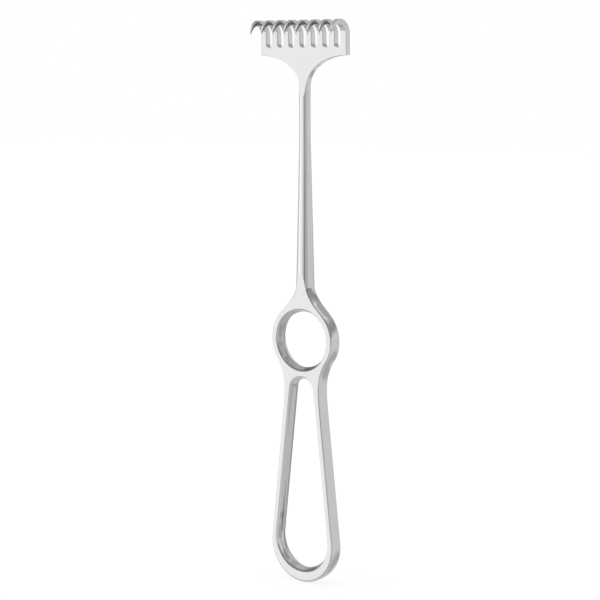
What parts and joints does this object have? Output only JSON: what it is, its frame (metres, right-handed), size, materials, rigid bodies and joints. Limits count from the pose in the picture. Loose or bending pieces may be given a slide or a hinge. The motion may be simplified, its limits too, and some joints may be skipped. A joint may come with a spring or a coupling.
{
  "type": "rake retractor",
  "caption": "Hand-held surgical rake retractor: sharp prongs hooked forward from a slotted plate, tapered round shaft, finger ring and elongated loop handle.",
  "frame": {"origin": "centre of the bounding box in X and Y, at the lowest point of the handle loop in Z", "axes": "+Z runs along the instrument from the handle loop to the prongs, the prongs hook towards -Y, X runs across the rake"},
  "size_m": [0.0406, 0.0128, 0.22],
  "materials": {
    "satin_steel": "satin"
  },
  "bodies": {
    "root": {"handle_loop": "satin_steel", "finger_ring": "satin_steel", "shaft": "satin_steel", "neck": "satin_steel", "rake_plate": "satin_steel", "prong_1": "satin_steel", "prong_2": "satin_steel", "prong_3": "satin_steel", "prong_4": "satin_steel", "prong_5": "satin_steel", "prong_6": "satin_steel", "prong_7": "satin_steel", "prong_8": "satin_steel"}
  },
  "joints": []
}
